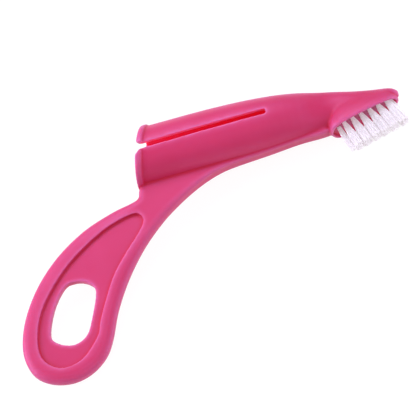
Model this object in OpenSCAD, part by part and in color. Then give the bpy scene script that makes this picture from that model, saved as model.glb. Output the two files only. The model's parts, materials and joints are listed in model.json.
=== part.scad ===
// Finger toothbrush for pets: a one-piece moulded finger sleeve with a brush
// head at its closed end and a flat loop handle at its open end. Nylon tufts
// are stapled into the head, each one held by its own metal anchor plate.
//
// Local frame of the body: x runs along the sleeve from mouth to toe, y is up
// and away from the handle, z is sideways towards the slit. Every node is laid
// on its side by rest_pose(), with z up, as the brush lies on a table.

/* [Finger sleeve] */
// Half width of the sleeve at its mouth
mouth_half_w = 10.7; // [9.5:0.1:12]
// Thickness of the sleeve's wall
wall = 1.45; // [1.1:0.05:1.9]
// Slope of the oblique mouth: shift along x for each mm of y
mouth_slope = 0.29; // [0:0.01:0.4]
// How far the lip stands out round the mouth
lip_out = 0.7; // [0.2:0.1:1.2]
// Width of the slit along one side
slit_w = 1.9; // [1.2:0.1:3]
// Length of the slit, measured from the mouth
slit_len = 45.6; // [25:0.1:47]

/* [Loop handle] */
// Thickness of the handle
plate_t = 5; // [4.4:0.1:5.6]
// Radius of the handle's rounded edges
plate_round = 1.9; // [0.8:0.1:2.1]
// How much wider the handle's rounding is across the rim than through it
rim_spread = 1.9; // [1:0.1:2.1]
// Depth of the recess in each face of the handle
recess_d = 1.2; // [0.6:0.1:1.6]

/* [Brush head] */
// Angle between the rim of the head and the sleeve
rim_angle = 14.5; // [8:0.5:20]
// Length of the head along its rim
head_len = 26.5; // [26:0.1:28]
// Half of the head's widest part
head_half_w = 6.3; // [6:0.1:6.6]
// Thickness of the rim round the cup
rim_wall = 1.0; // [0.8:0.05:1.2]
// Depth of the cup below its rim
cup_d = 1.3; // [0.6:0.1:1.8]

/* [Bristles] */
// Length of the bristles above the rim
bristle_len = 8.8; // [8:0.1:12]
// Distance between tufts along a row
tuft_pitch = 3.27; // [3.25:0.01:3.3]
// Distance between rows
row_pitch = 2; // [2:0.05:2.4]
// Diameter of a tuft where it leaves its hole
tuft_root_d = 1.45; // [1.2:0.05:1.5]
// Width of a tuft at its tip, along its row
tuft_tip_w = 3.44; // [2:0.02:3.44]
// Thickness of a tuft at its tip, across its row
tuft_tip_t = 1.95; // [1.6:0.05:1.95]
// Depth of a tuft's hole below the cup's floor
hole_depth = 3; // [2.6:0.1:3.4]
// Lean of the outer rows' first tufts towards the toe, in degrees
heel_lean = 5; // [2:0.5:6]
// Lean of the outer rows' last tufts towards the toe, in degrees
toe_lean = 11.5; // [11.5:0.5:13]

/* [Hidden] */
roll_deg = 8.15;
pitch_deg = 1.79;
shift_x = -18.21;
shift_y = 32.556;
lift = 11.553;

keel_round = 0.7;
ring_n = 60;
cavity_n = 44;
outline_steps = 4;
cut_extra = 1;

pink = [0.87, 0.33, 0.55];
nylon = [0.95, 0.93, 0.95];
brass = [0.80, 0.66, 0.36];

outer_rows = 6;
tuft_first = 6;
heel_gap = 2.3;
toe_shift = 1.4;
toe_upright = 4.5;
heel_tip_w = 2.38;
toe_tip_w = 2.9;
tuft_n = 20;
hole_clear = 0.03;
plate_clear = 0.02;
anchor_w = 1.9;
anchor_h = 1.2;
anchor_t = 0.25;
anchor_up = 0.45;

slit_y = -0.9;
slit_tilt = 0.8;
head_x = 65;
head_y = -12;

// Sleeve stations: [x, top y, bottom y, half width, slope].
sleeve = [
    [-1, 9.5 + lip_out * 0.6, -11.7 - lip_out * 0.6, mouth_half_w + lip_out * 0.6, mouth_slope],
    [-0.6, 9.5 + lip_out * 0.92, -11.7 - lip_out * 0.92, mouth_half_w + lip_out * 0.92, mouth_slope],
    [-0.1, 9.5 + lip_out, -11.7 - lip_out, mouth_half_w + lip_out, mouth_slope],
    [1, 9.5 + lip_out * 0.9, -11.7 - lip_out * 0.9, mouth_half_w + lip_out * 0.9, mouth_slope],
    [1.4, 9.6, -11.8, mouth_half_w, mouth_slope],
    [2.1, 9.6, -11.8, mouth_half_w, mouth_slope],
    [6, 9.6, -11.8, mouth_half_w, mouth_slope * 0.8],
    [20, 9.6, -11.7, mouth_half_w - 0.1, mouth_slope * 0.3],
    [30, 9.4, -11.6, mouth_half_w - 0.3, 0],
    [38, 9.0, -11.5, mouth_half_w - 0.5, 0],
    [45, 8.4, -11.2, mouth_half_w - 0.9, 0],
    [51, 7.7, -10.8, mouth_half_w - 1.7, 0],
    [57, 6.7, -10.3, mouth_half_w - 3.1, 0],
    [61, 5.8, -10.0, mouth_half_w - 4.8, 0],
    [65, 4.9, -9.6, 4.5, 0],
    [69, 4.0, -8.9, 3.9, 0],
    [74, 2.7, -8.0, 3.9, 0],
    [80, 1.2, -6.8, 3.9, 0],
    [85, 0.2, -5.6, 3.4, 0],
    [88.6, -0.5, -4.9, 2.8, 0],
    [90.1, -1.2, -4.5, 1.9, 0],
    [90.9, -2.2, -3.8, 0.9, 0],
];

// Finger space stations, in the same form.
cavity = [
    [-5, 9.6 - wall, -11.8 + wall, mouth_half_w - wall, mouth_slope],
    [6, 9.6 - wall, -11.8 + wall, mouth_half_w - wall, mouth_slope * 0.8],
    [20, 9.5 - wall, -11.6 + wall, mouth_half_w - wall - 0.2, mouth_slope * 0.3],
    [32, 9.2 - wall, -11.4 + wall, mouth_half_w - wall - 0.5, 0],
    [42, 8.6 - wall, -11.1 + wall, mouth_half_w - wall - 0.9, 0],
    [49, 7.6 - wall, -10.6 + wall, mouth_half_w - wall - 1.7, 0],
    [54, 5.0, -8.4, 6.0, 0],
    [57, 2.8, -6.4, 4.2, 0],
    [58.4, 0.4, -4.4, 2.0, 0],
];

// Handle outline, from the keel under the sleeve round the loop and back
// inside the sleeve's wall.
handle_pts = [
    [64, -11.0], [54, -11.0], [43, -11.9], [32, -12.6], [26, -13.3], [20.5, -14.9],
    [14.5, -17.6], [8.5, -21.1], [2, -25.7], [-5, -32], [-10.9, -38.9], [-16.2, -46.6],
    [-20.8, -55.1], [-24.3, -63.9], [-28, -70], [-34, -74.4], [-41, -76],
    [-48.2, -74.4], [-53.6, -70], [-55.8, -62.8], [-54.9, -55], [-51.5, -46.4],
    [-45.3, -37.1], [-36.7, -28.7], [-26, -22], [-15, -18.1], [-8, -16.7],
    [-5.1, -15.6], [-4.2, -13], [-2.6, -10.6], [3, -6.5], [20, -5], [40, -5],
    [56, -5], [62, -7], [64.6, -9.6],
];

recess_pts = [
    [-5, -23], [-6, -27], [-14.5, -36.2], [-20, -43.3], [-26.6, -56],
    [-29.2, -62.4], [-36.5, -69.4], [-44.5, -70.2], [-49.8, -64.4], [-49.2, -55],
    [-44.6, -45], [-34, -33.5], [-20, -24.6], [-8.6, -21.2],
];

loop_pts = [
    [-33, -39.7], [-28.6, -41.3], [-26.5, -45.4], [-30.4, -56], [-33.1, -60.6],
    [-37.5, -62.6], [-42.4, -61.1], [-45.2, -57], [-42.1, -47.8], [-37.0, -40.8],
];

// Half width of the head's outline at each length along the rim, as shares.
head_shape = [
    [0, 0], [0.022, 0.4], [0.06, 0.70], [0.13, 0.9], [0.24, 1], [0.42, 0.98],
    [0.62, 0.91], [0.78, 0.80], [0.89, 0.66], [0.96, 0.45], [0.99, 0.22], [1, 0],
];

// Head outline at depths from the rim: [depth, heel, toe, width share].
head_rings = [
    [0, 0.3, head_len - 0.4, 0.93], [0.35, 0, head_len, 1], [1.2, 0, head_len, 1],
    [2.2, 0.25, head_len - 0.2, 0.97], [3.4, 0.8, head_len - 0.5, 0.91],
    [4.6, 1.6, head_len - 1.0, 0.83], [5.8, 2.7, head_len - 4.2, 0.74],
    [7.0, 3.9, head_len - 9.5, 0.64], [8.2, 5.1, head_len - 14.5, 0.50],
    [9.0, 6.0, head_len - 17.5, 0.34],
];

row_names = ["lower", "middle", "upper"];
tuft_ids = concat(
    [for (i = [0 : outer_rows - 1]) [0, i]],
    [for (i = [0 : outer_rows]) [1, i]],
    [for (i = [0 : outer_rows - 1]) [2, i]]
);

function tuft_name(t) = str("tuft_", row_names[t[0]], "_", t[1] + 1);
function anchor_name(t) = str("anchor_", row_names[t[0]], "_", t[1] + 1);

// Smooth curve through points: Catmull-Rom value between b and c.
function cr(a, b, c, d, t) =
    0.5 * (2 * b + (c - a) * t + (2 * a - 5 * b + 4 * c - d) * t * t
    + (3 * b - a - 3 * c + d) * t * t * t);

function smooth_loop(p, k) = let (n = len(p)) [
    for (i = [0 : n - 1], j = [0 : k - 1])
        cr(p[(i + n - 1) % n], p[i], p[(i + 1) % n], p[(i + 2) % n], j / k)
];

function smooth_open(p, k) = let (n = len(p)) [
    for (i = [0 : n - 2], j = [0 : k - 1])
        cr(p[max(i - 1, 0)], p[i], p[i + 1], p[min(i + 2, n - 1)], j / k),
    p[n - 1]
];

// Ring of the sleeve at one station.
function station_ring(s, n) =
    let (mid = (s[1] + s[2]) / 2, high = (s[1] - s[2]) / 2)
    [for (i = [0 : n - 1])
        let (a = 360 * i / n)
        [s[0] + s[4] * high * cos(a), mid + high * cos(a), s[3] * sin(a)]
    ];

function seg_normal(a, b) = let (d = b - a) [d[1], -d[0]] / norm(d);

// Point i of a clockwise loop moved inwards by d.
function inset_point(p, i, d) =
    let (n = len(p),
         u = seg_normal(p[(i + n - 1) % n], p[i]),
         v = seg_normal(p[i], p[(i + 1) % n]),
         m = (u + v) / norm(u + v))
    p[i] + d * m;

// The edge is round on the handle and crisper along the keel.
function edge_round(x) =
    let (t = min(max((x - 2) / 22, 0), 1))
    plate_round * (1 - t) + keel_round * t;

// On the handle the rounding reaches further over the rim.
function edge_spread(x) =
    let (t = min(max((x + 14) / 10, 0), 1))
    rim_spread * (1 - t) + t;

// Closed solid through a list of rings that have the same number of points.
// Each ring runs anticlockwise as seen from the side of the next one, and its
// two halves face each other, so rungs across from half to half fill each end.
module loft(rings) {
    n = len(rings[0]);
    m = len(rings);
    sides = [for (k = [0 : m - 2], i = [0 : n - 1], h = [0, 1])
        let (j = (i + 1) % n)
        h == 0 ? [k * n + i, (k + 1) * n + j, k * n + j]
               : [k * n + i, (k + 1) * n + i, (k + 1) * n + j]];
    top = (m - 1) * n;
    first = [for (i = [0 : n / 2 - 2], h = [0, 1])
        h == 0 ? [i, i + 1, n - 2 - i] : [i, n - 2 - i, n - 1 - i]];
    last = [for (t = first) [top + t[2], top + t[1], top + t[0]]];
    polyhedron(points = [for (r = rings) each r], faces = concat(first, sides, last));
}

module rest_pose() {
    translate([shift_x, shift_y, lift])
        rotate([roll_deg, pitch_deg, 0])
            children();
}

// The head's own frame: x along the rim from the heel, z out of the cup.
module head_frame() {
    translate([head_x, head_y, 0])
        rotate([0, 0, rim_angle])
            rotate([90, 0, 0])
                children();
}

module sleeve_skin() {
    stations = smooth_open(sleeve, 2);
    loft([for (s = stations) station_ring(s, ring_n)]);
}

module finger_space() {
    stations = smooth_open(cavity, 2);
    loft([for (s = stations) station_ring(s, cavity_n)]);
}

module handle_plate() {
    loop = smooth_loop(handle_pts, outline_steps);
    half = plate_t / 2;
    steps = 4;
    high = [for (i = [0 : steps]) [90 * i / steps, 1]];
    low = [for (i = [steps : -1 : 0]) [90 * i / steps, -1]];
    loft([for (e = concat(high, low))
        [for (i = [0 : len(loop) - 1])
            let (r = edge_round(loop[i][0]),
                 q = inset_point(loop, i, r * edge_spread(loop[i][0]) * (1 - sin(e[0]))))
            [q[0], q[1], e[1] * (half - r * (1 - cos(e[0])))]
        ]
    ]);
}

function half_outline() = smooth_open(head_shape, 2);

// Head outline between two places along the rim, at a height above it.
function head_ring(heel, toe, half_w, z) =
    let (half = half_outline(),
         n = len(half),
         near = [for (i = [0 : n - 1]) [half[i][0], half[i][1]]],
         far = [for (i = [n - 2 : -1 : 1]) [half[i][0], -half[i][1]]])
    [for (q = concat(near, far))
        [heel + q[0] * (toe - heel), q[1] * half_w, z]];

function cup_ring(margin, z) =
    head_ring(margin, head_len - margin, head_half_w - margin, z);

module head_cup() {
    head_frame()
        loft([for (r = head_rings) head_ring(r[1], r[2], r[3] * head_half_w, -r[0])]);
}

module cup_space() {
    head_frame()
        loft([
            cup_ring(rim_wall, cut_extra),
            cup_ring(rim_wall, 0),
            cup_ring(rim_wall, -cup_d + 0.3),
            cup_ring(rim_wall + 0.25, -cup_d)
        ]);
}

module slit_cut() {
    flare = 1.3;
    low = -slit_w / 2;
    high = slit_w / 2;
    translate([0, slit_y, 0])
        rotate([0, 0, slit_tilt])
            linear_extrude(height = mouth_half_w + 2 * lip_out + cut_extra)
                polygon([
                    [-6, low - flare * 1.5], [-2, low - flare * 1.5], [-1, low - flare],
                    [-0.1, low - flare * 0.4], [1.4, low], [slit_len - 0.4, low],
                    [slit_len, low + 0.4], [slit_len, high - 0.4], [slit_len - 0.4, high],
                    [1.4, high], [0.4, high + flare * 0.25], [-0.3, high + flare * 0.8],
                    [-6, high + flare * 0.8]
                ]);
}

module handle_cuts() {
    floor_z = plate_t / 2 - recess_d;
    for (side = [0, 1])
        mirror([0, 0, side])
            translate([0, 0, floor_z])
                linear_extrude(height = recess_d + cut_extra)
                    polygon(smooth_loop(recess_pts, outline_steps));
    translate([0, 0, -plate_t / 2 - cut_extra])
        linear_extrude(height = plate_t + 2 * cut_extra)
            polygon(smooth_loop(loop_pts, outline_steps));
}

// The middle row has one tuft more than the outer rows, nearer to the heel, and
// its last tuft stands a little nearer to the toe, and more upright, than theirs.
outer_span = (outer_rows - 1) * tuft_pitch;
function at_toe(t) = t[0] == 1 && t[1] == outer_rows;
function tuft_s(t) =
    t[0] != 1 ? tuft_first + t[1] * tuft_pitch
    : t[1] == 0 ? tuft_first - heel_gap
    : tuft_first + (t[1] - 1) * tuft_pitch + (at_toe(t) ? toe_shift : 0);
function tuft_row(t) = (t[0] - 1) * row_pitch;
function tuft_lean(t) =
    heel_lean + (toe_lean - heel_lean) * (tuft_s(t) - tuft_first) / outer_span
    - (at_toe(t) ? toe_upright : 0);
function tuft_tip(t) =
    t[0] == 1 && t[1] < 2 ? heel_tip_w : at_toe(t) ? toe_tip_w : tuft_tip_w;

// A tuft's own frame: z out along the tuft, from the cup's floor.
module tuft_frame(t) {
    head_frame()
        translate([tuft_s(t), tuft_row(t), -cup_d])
            rotate([0, tuft_lean(t), 0])
                children();
}

// Oval section of a tuft: spread 0 is round and as thick as the hole, and
// spread 1 is as wide as the tip.
function tuft_ring(tip_w, spread, inset, z) =
    let (root = tuft_root_d / 2,
         a = root + (tip_w / 2 - root) * spread - inset,
         b = root + (tuft_tip_t / 2 - root) * spread - inset)
    [for (i = [0 : tuft_n - 1])
        [a * cos(-360 * i / tuft_n), b * sin(-360 * i / tuft_n), z]];

module tuft(t) {
    top = bristle_len + cup_d;
    w = tuft_tip(t);
    color(nylon)
        rest_pose()
            tuft_frame(t)
                difference() {
                    loft([
                        tuft_ring(w, 1, 0.45, top), tuft_ring(w, 1, 0.12, top - 0.15),
                        tuft_ring(w, 1, 0, top - 0.5), tuft_ring(w, 0.94, 0, top * 0.78),
                        tuft_ring(w, 0.86, 0, top * 0.6), tuft_ring(w, 0.7, 0, top * 0.44),
                        tuft_ring(w, 0.4, 0, top * 0.28), tuft_ring(w, 0.12, 0, top * 0.13),
                        tuft_ring(w, 0, 0, 0.1),
                        tuft_ring(w, 0, 0, -hole_depth + hole_clear)
                    ]);
                    anchor_space(plate_clear / 2);
                }
}

module anchor_space(extra) {
    translate([
        -anchor_w / 2 - extra, -anchor_t / 2 - extra, -hole_depth + anchor_up - extra
    ])
        cube([anchor_w + 2 * extra, anchor_t + 2 * extra, anchor_h + 2 * extra]);
}

module anchor(t) {
    color(brass)
        rest_pose()
            tuft_frame(t)
                anchor_space(0);
}

// Blind hole for a tuft, with the slot that its anchor was pressed through.
module tuft_hole(t) {
    slot_low = -hole_depth + anchor_up - plate_clear / 2;
    slot_w = anchor_w + plate_clear;
    slot_t = anchor_t + plate_clear;
    tuft_frame(t) {
        translate([0, 0, -hole_depth])
            cylinder(d = tuft_root_d + 2 * hole_clear, h = hole_depth + cut_extra, $fn = 40);
        translate([-slot_w / 2, -slot_t / 2, slot_low])
            cube([slot_w, slot_t, cut_extra * 0.3 - slot_low]);
    }
}

module body() {
    color(pink)
        rest_pose()
            difference() {
                union() {
                    sleeve_skin();
                    head_cup();
                    handle_plate();
                }
                finger_space();
                slit_cut();
                handle_cuts();
                cup_space();
                for (t = tuft_ids)
                    tuft_hole(t);
            }
}

body();
for (t = tuft_ids) {
    tuft(t);
    anchor(t);
}
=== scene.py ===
import json
import math
import random

import bpy
import numpy as np
from mathutils import Matrix, Vector


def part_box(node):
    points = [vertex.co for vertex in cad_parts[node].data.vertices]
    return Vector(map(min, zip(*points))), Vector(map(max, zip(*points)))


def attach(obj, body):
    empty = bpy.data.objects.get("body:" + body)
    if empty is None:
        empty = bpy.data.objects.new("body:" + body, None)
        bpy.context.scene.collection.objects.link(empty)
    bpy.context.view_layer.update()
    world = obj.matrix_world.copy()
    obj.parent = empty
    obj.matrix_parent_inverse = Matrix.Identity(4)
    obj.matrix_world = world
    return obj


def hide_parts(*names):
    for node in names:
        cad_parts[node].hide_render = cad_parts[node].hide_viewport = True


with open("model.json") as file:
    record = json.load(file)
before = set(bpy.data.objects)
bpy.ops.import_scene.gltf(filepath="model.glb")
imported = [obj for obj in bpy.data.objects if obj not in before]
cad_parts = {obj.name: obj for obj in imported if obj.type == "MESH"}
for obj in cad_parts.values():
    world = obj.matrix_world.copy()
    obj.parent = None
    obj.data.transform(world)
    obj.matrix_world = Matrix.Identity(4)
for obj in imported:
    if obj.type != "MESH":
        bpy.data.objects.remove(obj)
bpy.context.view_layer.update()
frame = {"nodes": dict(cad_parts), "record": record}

# The looks of a finger toothbrush that lies with its slit side up. The body is
# the CAD body on an even, smoothed mesh. Each tuft is made of nylon filaments,
# folded under the CAD's anchor plates, which are shown as they are.

MM = 0.001
nodes = frame["nodes"]
mounts = {m["name"]: m for m in frame["record"]["mounts"]}


# ---- The body's own frame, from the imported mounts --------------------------
# x runs along the sleeve from its mouth, y is away from the handle, and z is
# towards the slit.
AXIS_Y = -1.1
MOUTH = Vector((-1.0, AXIS_Y, 0.0)) * MM
ex = -Vector(mounts["finger_socket"]["axis"]).normalized()
ez = Vector(mounts["hanging_slot"]["axis"]).normalized()
ey = ez.cross(ex).normalized()
ez = ex.cross(ey).normalized()
to_row = Matrix((ex, ey, ez)).transposed()
origin = Vector(mounts["finger_socket"]["pos_m"]) - to_row @ MOUTH
ROTATION = np.array(to_row)
ORIGIN = np.array(origin)


def local(v):
    """Row-frame points in the body's own frame, in millimetres."""
    return (v - ORIGIN) @ ROTATION / MM


def smoothstep(x, a, b):
    t = np.clip((x - a) / (b - a), 0, 1)
    return t * t * (3 - 2 * t)


# ---- Mesh helpers -----------------------------------------------------------
def values_of(items, key, width, kind=float):
    """One value of every vertex or edge, as an array with a row for each."""
    out = np.zeros(len(items) * width, kind)
    items.foreach_get(key, out)
    return out.reshape(-1, width)


def verts_of(mesh):
    return values_of(mesh.vertices, "co", 3)


def normals_of(mesh):
    return values_of(mesh.vertices, "normal", 3)


def edges_of(mesh):
    return values_of(mesh.edges, "vertices", 2, int)


def add_layer(mesh, name, values):
    """Gives each vertex a value that a material reads by name."""
    layer = mesh.attributes.new(name, "FLOAT", "POINT")
    layer.data.foreach_set("value", values.astype(np.float32))


def add_object(name, data):
    obj = bpy.data.objects.new(name, data)
    bpy.context.scene.collection.objects.link(obj)
    return obj


def relax(v, edges, weight, steps):
    """Moves each vertex towards the mean of its neighbours, steps times."""
    n = len(v)
    a = np.concatenate((edges[:, 0], edges[:, 1]))
    b = np.concatenate((edges[:, 1], edges[:, 0]))
    count = np.maximum(np.bincount(a, minlength=n), 1)[:, None]
    for _ in range(steps):
        mean = np.stack(
            [np.bincount(a, weights=v[b, k], minlength=n) for k in range(3)], 1
        ) / count
        v = v + (mean - v) * weight[:, None]
    return v


def remeshed_copy(node, name, voxel):
    """A new object with the CAD node's shape on an even mesh."""
    obj = add_object(name, nodes[node].data.copy())
    mod = obj.modifiers.new("remesh", "REMESH")
    mod.mode = "VOXEL"
    mod.voxel_size = voxel
    mod.adaptivity = 0
    bpy.context.view_layer.update()
    dg = bpy.context.evaluated_depsgraph_get()
    mesh = bpy.data.meshes.new_from_object(obj.evaluated_get(dg))
    obj.modifiers.clear()
    obj.data = mesh
    mesh.name = name
    return obj


# ---- Material helpers -------------------------------------------------------
# A noise's values lie mostly between these two.
NOISE_LOW = 0.25
NOISE_HIGH = 0.75


def new_material(name):
    """A material's node tree, with its shader and coordinates."""
    mat = bpy.data.materials.new(name)
    mat.use_nodes = True
    nt = mat.node_tree
    nt.nodes.clear()
    out = nt.nodes.new("ShaderNodeOutputMaterial")
    bsdf = nt.nodes.new("ShaderNodeBsdfPrincipled")
    nt.links.new(bsdf.outputs["BSDF"], out.inputs["Surface"])
    coords = nt.nodes.new("ShaderNodeTexCoord").outputs["Object"]
    return mat, nt, bsdf, coords


def set_inputs(bsdf, values):
    for name, value in values.items():
        bsdf.inputs[name].default_value = value


def link_inputs(nt, bsdf, sources):
    for name, source in sources.items():
        nt.links.new(source, bsdf.inputs[name])


def noise(nt, coords, scale, detail, rough):
    n = nt.nodes.new("ShaderNodeTexNoise")
    n.inputs["Scale"].default_value = scale
    n.inputs["Detail"].default_value = detail
    n.inputs["Roughness"].default_value = rough
    nt.links.new(coords, n.inputs["Vector"])
    return n.outputs["Fac"]


def attribute(nt, name):
    a = nt.nodes.new("ShaderNodeAttribute")
    a.attribute_name = name
    return a.outputs["Fac"]


def ramp(nt, fac, stops):
    r = nt.nodes.new("ShaderNodeValToRGB")
    while len(r.color_ramp.elements) < len(stops):
        r.color_ramp.elements.new(0.5)
    for element, (place, colour) in zip(r.color_ramp.elements, stops):
        element.position = place
        element.color = (*colour, 1)
    nt.links.new(fac, r.inputs["Fac"])
    return r.outputs["Color"]


def ranged(nt, fac, low, high, start=0, end=1):
    """Goes from low to high while fac goes from start to end."""
    m = nt.nodes.new("ShaderNodeMapRange")
    m.inputs["From Min"].default_value = start
    m.inputs["From Max"].default_value = end
    m.inputs["To Min"].default_value = low
    m.inputs["To Max"].default_value = high
    nt.links.new(fac, m.inputs["Value"])
    return m.outputs["Result"]


def ranged_noise(nt, fac, low, high):
    return ranged(nt, fac, low, high, NOISE_LOW, NOISE_HIGH)


def mixed(nt, fac, colour, other):
    m = nt.nodes.new("ShaderNodeMixRGB")
    m.inputs["Color2"].default_value = (*other, 1)
    nt.links.new(fac, m.inputs["Fac"])
    nt.links.new(colour, m.inputs["Color1"])
    return m.outputs["Color"]


def bump(nt, height, strength, distance, normal=None):
    b = nt.nodes.new("ShaderNodeBump")
    b.inputs["Strength"].default_value = strength
    b.inputs["Distance"].default_value = distance
    nt.links.new(height, b.inputs["Height"])
    if normal is not None:
        nt.links.new(normal, b.inputs["Normal"])
    return b.outputs["Normal"]


# ---- Materials --------------------------------------------------------------
def pink_plastic():
    """Painted highlight: lighter and violet where it is raised. Painted shade:
    redder where it is hollow. The walls that light comes through scatter more
    and have a faint painted glow."""
    mat, nt, bsdf, co = new_material("pink_plastic")
    colour = ramp(nt, noise(nt, co, 45, 3.0, 0.55), [
        (0.30, (0.530, 0.021, 0.088)),
        (0.55, (0.550, 0.024, 0.097)),
        (0.75, (0.570, 0.028, 0.108)),
    ])
    # The edge mark paints light: painted highlight where the surface is raised, painted
    # shade where it is hollow.
    edge = attribute(nt, "edge")
    painted_shade = ranged(nt, edge, 1, 0, 0.15, 0.48)
    raised = ranged(nt, edge, 0, 1, 0.52, 1.0)
    # Painted shade, a darker red, in hollows; painted highlight, a light violet, on
    # raised edges.
    colour = mixed(nt, painted_shade, colour, (0.54, 0.006, 0.035))
    colour = mixed(nt, raised, colour, (0.60, 0.11, 0.27))
    haze = noise(nt, co, 160, 4.0, 0.6)
    scatter_and_glow = attribute(nt, "scatter_and_glow")
    fine = noise(nt, co, 2600, 2.0, 0.5)
    flow = noise(nt, co, 210, 3.0, 0.5)
    flowed = bump(nt, flow, 0.05, 0.00020)
    link_inputs(nt, bsdf, {
        "Base Color": colour,
        "Roughness": ranged_noise(nt, haze, 0.40, 0.50),
        "Subsurface Weight": ranged(nt, scatter_and_glow, 0.35, 1.0),
        "Subsurface Scale": ranged(nt, scatter_and_glow, 0.003, 0.008),
        # The emission is a painted glow in place of light through the wall; the
        # subsurface settings are the plastic's own.
        "Emission Strength": ranged(nt, scatter_and_glow, 0, 0.15),
        "Normal": bump(nt, fine, 0.09, 0.00004, flowed),
    })
    set_inputs(bsdf, {
        "IOR": 1.49,
        "Subsurface Radius": (1.0, 0.08, 0.12),
        # Colour of the painted glow.
        "Emission Color": (1.0, 0.012, 0.035, 1.0),
        "Specular IOR Level": 0.5,
        "Specular Tint": (0.90, 0.60, 1.0, 1.0),
        "Sheen Weight": 0.24,
        "Sheen Roughness": 0.35,
        "Sheen Tint": (0.90, 0.55, 1.0, 1.0),
    })
    return mat


def nylon():
    mat, nt, bsdf, co = new_material("nylon_filament")
    colour = ramp(nt, noise(nt, co, 2600, 2.0, 0.6), [
        (0.35, (0.78, 0.73, 0.75)),
        (0.62, (1.00, 0.97, 0.98)),
    ])
    streak = noise(nt, co, 4000, 2.0, 0.5)
    link_inputs(nt, bsdf, {
        "Base Color": colour,
        "Roughness": ranged_noise(nt, streak, 0.30, 0.42),
        "Normal": bump(nt, streak, 0.08, 0.00003),
    })
    set_inputs(bsdf, {
        "IOR": 1.53,
        "Subsurface Weight": 0.40,
        "Subsurface Radius": (1.0, 0.90, 1.0),
        "Subsurface Scale": 0.0010,
        # Painted glow: a faint emission that lightens the bristles in place of light
        # lost between the filaments.
        "Emission Color": (1.0, 0.93, 0.98, 1.0),
        "Emission Strength": 0.10,
    })
    return mat


def brass():
    mat, nt, bsdf, co = new_material("anchor_brass")
    colour = ramp(nt, noise(nt, co, 1500, 3.0, 0.6), [
        (0.30, (0.62, 0.43, 0.17)),
        (0.70, (0.78, 0.58, 0.27)),
    ])
    scratch = noise(nt, co, 6000, 3.0, 0.6)
    link_inputs(nt, bsdf, {
        "Base Color": colour,
        "Roughness": ranged_noise(nt, scratch, 0.25, 0.42),
        "Normal": bump(nt, scratch, 0.15, 0.00002),
    })
    set_inputs(bsdf, {"Metallic": 1.0})
    return mat


def floor_paper():
    """Mostly lit by itself, to be as white as the photo's background."""
    mat, nt, bsdf, co = new_material("floor_paper")
    colour = ramp(nt, noise(nt, co, 60, 2.0, 0.5), [
        (0.30, (0.095, 0.095, 0.095)),
        (0.70, (0.105, 0.105, 0.105)),
    ])
    link_inputs(nt, bsdf, {"Base Color": colour})
    set_inputs(bsdf, {
        "Roughness": 0.9,
        "Specular IOR Level": 0.1,
        "Emission Color": (1, 1, 1, 1),
        "Emission Strength": 0.94,
    })
    return mat


PINK = pink_plastic()
NYLON = nylon()
BRASS = brass()
PAPER = floor_paper()


# ---- Body -------------------------------------------------------------------
# Places are in the body's own frame and in millimetres. A pair of numbers is
# where a smooth step begins and ends, or the two ends of a stretch.
VOXEL = 0.25 * MM
SLIT_Y = -0.9                # middle of the slit
SLIT_LOW_Z = 4               # all of the slit is above this
SLIT_X = (1, 47)             # and in this stretch of the sleeve
SLIT_FACE_Y = 2.6            # and its faces are within this of its middle
SLIT_SIDE = (2.4, 3.8)       # fine features round the slit end here
SLIT_END = (46.5, 48)
MOUTH_SLOPE = 0.29           # the mouth's lean along y
MOUTH_LIP = (1.5, 3.0)
KEEL_TOP = (-10.2, -8.5)
HEAD_START = (60.0, 62.5)
RIM_START = (62.5, 64.5)
RIM_ABOVE = (2.2, 3.2)       # the rim's height above the tufts' roots
BLEND_IN = (69, 76)          # the head's plain sides, smoothed the most
BLEND_OUT = (82, 87)
BLEND_LEAST = 0.12
SMOOTHING = 0.5              # part of the way to the neighbours' mean
ROUND_STEPS = 3              # smoothing everywhere
PLAIN_STEPS = 24             # away from fine features
HEAD_STEPS = 120             # on the head, but not at its rim
SPACE_END_X = 58             # the finger space ends before this
SPACE_RADIUS = 11            # and is within this of the sleeve's axis
FACES_AXIS = (0.1, 0.4)      # how squarely a wall faces the sleeve's axis
FACES_SLIT = (0.55, 0.8)     # or across the slit
EDGE_STEPS = 80              # smoothing that gives the surface to compare with
EDGE_RANGE = 0.8             # height that takes the painted light mark from 0 to 1


def rim_height(v):
    """Height in mm above the bottoms of the tuft holes, towards the tips."""
    ends = [tuft_space(n)[:2] for n in nodes if n.startswith("tuft_")]
    root = np.mean([r for r, _ in ends], axis=0)
    d = np.mean([a for _, a in ends], axis=0)
    return (v - root) @ (d / np.linalg.norm(d)) / MM


def mark_scatter_and_glow(mesh):
    """Marks the walls of the finger space and slit, where light comes through,
    for more scatter and a faint painted glow.
    """
    q = local(verts_of(mesh))
    n = normals_of(mesh) @ ROTATION
    x, z = q[:, 0], q[:, 2]
    y = q[:, 1] - AXIS_Y
    radius = np.hypot(y, z)
    inward = -(n[:, 1] * y + n[:, 2] * z) / np.maximum(radius, 0.1)
    space = smoothstep(inward, *FACES_AXIS) * (x < SPACE_END_X) * (radius < SPACE_RADIUS)
    near_slit = (z > SLIT_LOW_Z) * (np.abs(q[:, 1] - SLIT_Y) < SLIT_FACE_Y)
    near_slit = near_slit * (x < SLIT_X[1]) * (x > SLIT_X[0])
    slit = near_slit * smoothstep(np.abs(n[:, 1]), *FACES_SLIT)
    add_layer(mesh, "scatter_and_glow", np.maximum(space, slit))


def mark_painted_light(mesh, edges):
    """Marks how raised or hollow the surface is, around 0.5 where it is flat,
    for the painted highlights and painted shade.
    """
    v = verts_of(mesh)
    even = relax(v, edges, np.full(len(v), SMOOTHING), EDGE_STEPS)
    raised = np.sum((v - even) * normals_of(mesh), 1) / MM
    add_layer(mesh, "edge", np.clip(0.5 + raised / EDGE_RANGE, 0, 1))


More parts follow.
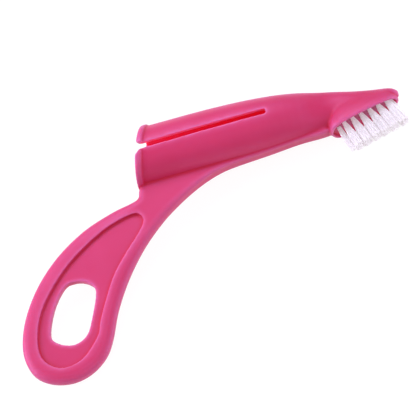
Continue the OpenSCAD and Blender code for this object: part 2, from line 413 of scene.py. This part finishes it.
def smoothed(v, edges):
    """Smooths the body least at its fine features, which keep their edges."""
    q = local(v)
    x, y, z = q[:, 0], q[:, 1], q[:, 2]
    beside_slit = 1 - smoothstep(np.abs(y - SLIT_Y), *SLIT_SIDE)
    near_slit = (z > SLIT_LOW_Z) * beside_slit * (1 - smoothstep(x, *SLIT_END))
    near_mouth = 1 - smoothstep(x - MOUTH_SLOPE * (y - AXIS_Y), *MOUTH_LIP)
    near_rim = smoothstep(x, *RIM_START) * smoothstep(rim_height(v), *RIM_ABOVE)
    near_keel = 1 - smoothstep(y, *KEEL_TOP)
    detail = np.clip(near_slit + near_mouth + near_rim + near_keel, 0, 1)
    head = smoothstep(x, *HEAD_START) * (1 - near_rim)
    plain = smoothstep(x, *BLEND_IN) * (1 - smoothstep(x, *BLEND_OUT))
    blend = BLEND_LEAST + (1 - BLEND_LEAST) * plain
    v = relax(v, edges, np.full(len(v), SMOOTHING), ROUND_STEPS)
    v = relax(v, edges, SMOOTHING * (1 - detail), PLAIN_STEPS)
    return relax(v, edges, SMOOTHING * head * blend, HEAD_STEPS)


def make_body():
    obj = remeshed_copy("body", "body_look", VOXEL)
    mesh = obj.data
    edges = edges_of(mesh)
    mesh.vertices.foreach_set("co", smoothed(verts_of(mesh), edges).ravel())
    mesh.update()
    mesh.shade_smooth()
    mark_scatter_and_glow(mesh)
    mark_painted_light(mesh, edges)
    mesh.materials.clear()
    mesh.materials.append(PINK)
    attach(obj, "root")
    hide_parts("body")


# ---- Bristles ---------------------------------------------------------------
# Each filament is folded under its anchor plate, so it has two legs, one on
# each side of the plate. Heights are measured from the bottom of the hole.
FOLDS = 26                   # filaments in a tuft
FILL = 3.0                   # how square the tuft's section is: 2 is round
FILAMENT_R = 0.092 * MM
EDGE_GAP = 0.9 * FILAMENT_R  # from an outer filament's middle to the CAD's edge
SIDES = 6                    # of a filament
TIP_TAPER = (0.85, 0.45)     # last two radii, of FILAMENT_R
ROOT_R = 0.70 * MM
HOLE = 2.97 * MM
PLATE_LOW = 0.44 * MM
PLATE_HIGH = 1.75 * MM
PLATE_MID = 0.6 * (PLATE_LOW + PLATE_HIGH)
PLATE_GAP = 0.24 * MM        # from the plate's middle to a leg's, at least
LEG_HEIGHTS = (PLATE_LOW, PLATE_MID, PLATE_HIGH)
# How far the legs have spread from the root's section to the tip's, at parts of
# the way from the hole to the tip, and the parts of the way where a leg has rings.
SPREAD_AT = (0, 0.01, 0.13, 0.28, 0.44, 0.60, 0.78, 0.95, 1)
SPREAD = (0, 0.02, 0.24, 0.56, 0.82, 0.94, 1, 1, 1)
STEPS = (0, 0.12, 0.26, 0.42, 0.60, 0.80, 0.975, 0.992, 1)
FOLD_STEPS = 4               # stretches in the bend under the plate
FOLD_DROP = 0.1 * MM         # from the legs' lower ends to the fold's ends
FOLD_DIP = (0.10, 0.16)      # mm at the plate, and more for outer filaments
STRAY_W = 0.09               # in mm, each way
STRAY_T = 0.06
BEND = 0.07
UNEVEN = (0.01, 0.34)        # mm that a filament is short of the CAD's top
LEG_SHIFT = 0.05             # of the root's radius
ROOT_SLICE = 0.3 * MM        # the ends of a CAD tuft that are measured
TIP_SLICE = 0.9 * MM
NOT_ALONG = (0.31, 0.87, 0.39)  # a direction that no filament starts along
FIRST_SEED = 100


def tuft_space(node):
    """A tuft's root, axes, length and half widths, from its CAD solid."""
    v = verts_of(nodes[node].data)
    mid = (v.min(0) + v.max(0)) / 2
    _, _, axes = np.linalg.svd(v - v.mean(0), full_matrices=False)
    d, w, t = axes
    h = (v - mid) @ d
    low, high = v[h <= h.min() + ROOT_SLICE], v[h >= h.max() - TIP_SLICE]
    if np.ptp(low @ w) > np.ptp(high @ w):
        low, high = v[h >= h.max() - ROOT_SLICE], v[h <= h.min() + TIP_SLICE]
    c0, c1 = low.mean(0), high.mean(0)
    d = (c1 - c0) / np.linalg.norm(c1 - c0)
    h = (v - c0) @ d
    root = c0 + d * h.min()
    return root, d, w, t, np.ptp(h), np.ptp(high @ w) / 2, np.ptp(high @ t) / 2


def tube(points, radii, verts, faces):
    """Adds a closed round tube along the points."""
    start = len(verts)
    n = len(points)
    p = np.array(points)
    tangent = np.gradient(p, axis=0)
    tangent /= np.linalg.norm(tangent, axis=1)[:, None]
    side = np.cross(tangent[0], NOT_ALONG)
    for i in range(n):
        side = side - tangent[i] * (side @ tangent[i])
        side /= np.linalg.norm(side)
        up = np.cross(tangent[i], side)
        for k in range(SIDES):
            a = 2 * math.pi * k / SIDES
            verts.append(p[i] + radii[i] * (math.cos(a) * side + math.sin(a) * up))
    for i in range(n - 1):
        for k in range(SIDES):
            j = (k + 1) % SIDES
            faces.append((start + i * SIDES + k, start + i * SIDES + j,
                          start + (i + 1) * SIDES + j, start + (i + 1) * SIDES + k))
    faces.append(tuple(start + k for k in reversed(range(SIDES))))
    faces.append(tuple(start + (n - 1) * SIDES + k for k in range(SIDES)))


def fold_places(turn):
    """Even places over one half of the root's section, one for each fold."""
    golden = math.pi * (3 - math.sqrt(5))
    places, i = [], 0
    while len(places) < FOLDS:
        r = math.sqrt((i + 0.5) / (2 * FOLDS))
        c, s = math.cos(turn + i * golden), math.sin(turn + i * golden)
        r /= (abs(c) ** FILL + abs(s) ** FILL) ** (1 / FILL)
        i += 1
        if r * s > 0:
            places.append((r * c, r * s))
    return places


def leg(u, v, size, rng):
    """Places and radii of one leg in the tuft's own frame, from plate to tip."""
    length, half_w, half_t = size
    stray_w = rng.uniform(-STRAY_W, STRAY_W) * MM
    stray_t = rng.uniform(-STRAY_T, STRAY_T) * MM
    bend = rng.uniform(-BEND, BEND) * MM
    end = length - rng.uniform(*UNEVEN) * MM
    sign = 1 if v > 0 else -1
    beside = sign * max(abs(v) * ROOT_R, PLATE_GAP)
    pts = [(u * ROOT_R, beside, h) for h in LEG_HEIGHTS]
    for q in STEPS:
        h = HOLE + q * (end - HOLE)
        g = float(np.interp(q, SPREAD_AT, SPREAD))
        x = u * (ROOT_R + (half_w - EDGE_GAP - ROOT_R) * g)
        y = v * (ROOT_R + (half_t - EDGE_GAP - ROOT_R) * g)
        x += (stray_w * q + bend * math.sin(math.pi * q)) * min(1, 3 * q)
        y += stray_t * q
        pts.append((x, y, h))
    radii = [FILAMENT_R] * (len(pts) - 2) + [FILAMENT_R * r for r in TIP_TAPER]
    return pts, radii


def fold(start, end, v):
    """Places of the bend under the plate, from one leg to the other."""
    x0, y0, _ = start
    x1, y1, _ = end
    dip = (FOLD_DIP[0] + FOLD_DIP[1] * v) * MM
    pts = []
    for k in range(1, FOLD_STEPS):
        b = math.pi * k / FOLD_STEPS
        f = (1 - math.cos(b)) / 2
        pts.append((x0 + (x1 - x0) * f, y0 + (y1 - y0) * f,
                    PLATE_LOW - FOLD_DROP - dip * math.sin(b)))
    return pts


def make_tuft(node, seed):
    rng = random.Random(seed)
    root, d, w, t, *size = tuft_space(node)
    verts, faces = [], []
    for u, v in fold_places(rng.uniform(0, 2 * math.pi)):
        one, r_one = leg(u, v, size, rng)
        two, r_two = leg(u + rng.uniform(-LEG_SHIFT, LEG_SHIFT), -v, size, rng)
        bent = fold(one[0], two[0], v)
        radii = r_one[::-1] + [FILAMENT_R] * len(bent) + r_two
        pts = [root + w * x + t * y + d * z for x, y, z in one[::-1] + bent + two]
        tube(pts, radii, verts, faces)
    lo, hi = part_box(node)
    inside = np.clip(np.array(verts), np.array(lo), np.array(hi))
    mesh = bpy.data.meshes.new(node + "_look")
    mesh.from_pydata(inside.tolist(), [], faces)
    mesh.update()
    mesh.shade_smooth()
    mesh.materials.append(NYLON)
    obj = add_object(node + "_look", mesh)
    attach(obj, "root")
    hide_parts(node)


make_body()
tufts = sorted(n for n in nodes if n.startswith("tuft_"))
for number, name in enumerate(tufts):
    make_tuft(name, FIRST_SEED + number)

for name, obj in nodes.items():
    if name.startswith("anchor_"):
        obj.data.materials.clear()
        obj.data.materials.append(BRASS)


# ---- Floor ------------------------------------------------------------------
FLOOR_SIZE = 3.0
FLOOR_CELLS = 24
FLOOR_Z = -0.00005           # just below the part


def make_floor():
    n = FLOOR_CELLS
    verts, faces = [], []
    for i in range(n + 1):
        for j in range(n + 1):
            x, y = FLOOR_SIZE * (i / n - 0.5), FLOOR_SIZE * (j / n - 0.5)
            verts.append((x, y, FLOOR_Z))
    for i in range(n):
        for j in range(n):
            a = i * (n + 1) + j
            faces.append((a, a + n + 1, a + n + 2, a + 1))
    mesh = bpy.data.meshes.new("floor")
    mesh.from_pydata(verts, [], faces)
    mesh.materials.append(PAPER)
    obj = add_object("floor", mesh)


make_floor()


# ---- Camera -----------------------------------------------------------------
# The camera looks at the slit side, a little from the handle's side, with a lens
# so long that the picture has almost no perspective. The sleeve rises to the
# right.
LENS = 1500.0
SENSOR = 36.0
FIELD = 143.5 * MM           # width of the picture at the aim
VIEW_FROM = (0.09, -0.42, 0.903)  # direction in the body's own frame
TILT_DEG = 15.5
AIM = (23.0, 0.0, 0.0)       # a place on the sleeve, in mm
AIM_RIGHT = 0.207 * MM       # from there to the middle of the picture
AIM_DOWN = 24.1155 * MM
CLIP = (0.1, 40)

view_dir = to_row @ Vector(VIEW_FROM).normalized()
along = (ex - view_dir * ex.dot(view_dir)).normalized()
across = view_dir.cross(along).normalized()
tilt = math.radians(TILT_DEG)
right = along * math.cos(tilt) - across * math.sin(tilt)
up = along * math.sin(tilt) + across * math.cos(tilt)
aim = origin + to_row @ (Vector(AIM) * MM) + right * AIM_RIGHT - up * AIM_DOWN

cam_data = bpy.data.cameras.new("camera")
cam_data.lens = LENS
cam_data.sensor_width = SENSOR
cam_data.clip_start, cam_data.clip_end = CLIP
cam = add_object("camera", cam_data)
pose = Matrix((right, up, view_dir)).transposed().to_4x4()
pose.translation = aim + view_dir * (FIELD * LENS / SENSOR)
cam.matrix_world = pose
bpy.context.scene.camera = cam


# ---- Light ------------------------------------------------------------------
# Name, direction from the aim, diameter, power, colour and distance.
LIGHTS = (
    ("key", view_dir * 0.35 + up * 0.75 - right * 0.35,
     0.40, 2.8, (0.78, 0.76, 1.0), 0.7),
    ("left", view_dir * 0.25 - right + up * 0.10,
     0.50, 4.8, (0.76, 0.74, 1.0), 0.7),
    ("right", view_dir * 0.35 + right + up * 0.20,
     0.50, 3.2, (0.76, 0.74, 1.0), 0.7),
    ("fill", view_dir * 0.9 + up * 0.1 + right * 0.1,
     0.60, 0.7, (0.96, 0.93, 1.0), 0.8),
)
WORLD_COLOUR = (1.0, 0.95, 0.98, 1)
WORLD_STRENGTH = 0.50


def area_light(name, direction, size, power, colour, distance):
    data = bpy.data.lights.new(name, "AREA")
    data.shape = "DISK"
    data.size = size
    data.energy = power
    data.color = colour
    obj = add_object(name, data)
    d = direction.normalized()
    obj.location = aim + d * distance
    obj.rotation_mode = "QUATERNION"
    obj.rotation_quaternion = d.to_track_quat("Z", "Y")


for light in LIGHTS:
    area_light(*light)

world = bpy.data.worlds.new("studio")
world.use_nodes = True
bg = world.node_tree.nodes["Background"]
bg.inputs["Color"].default_value = WORLD_COLOUR
bg.inputs["Strength"].default_value = WORLD_STRENGTH
bpy.context.scene.world = world
bpy.context.scene.view_settings.view_transform = "Standard"
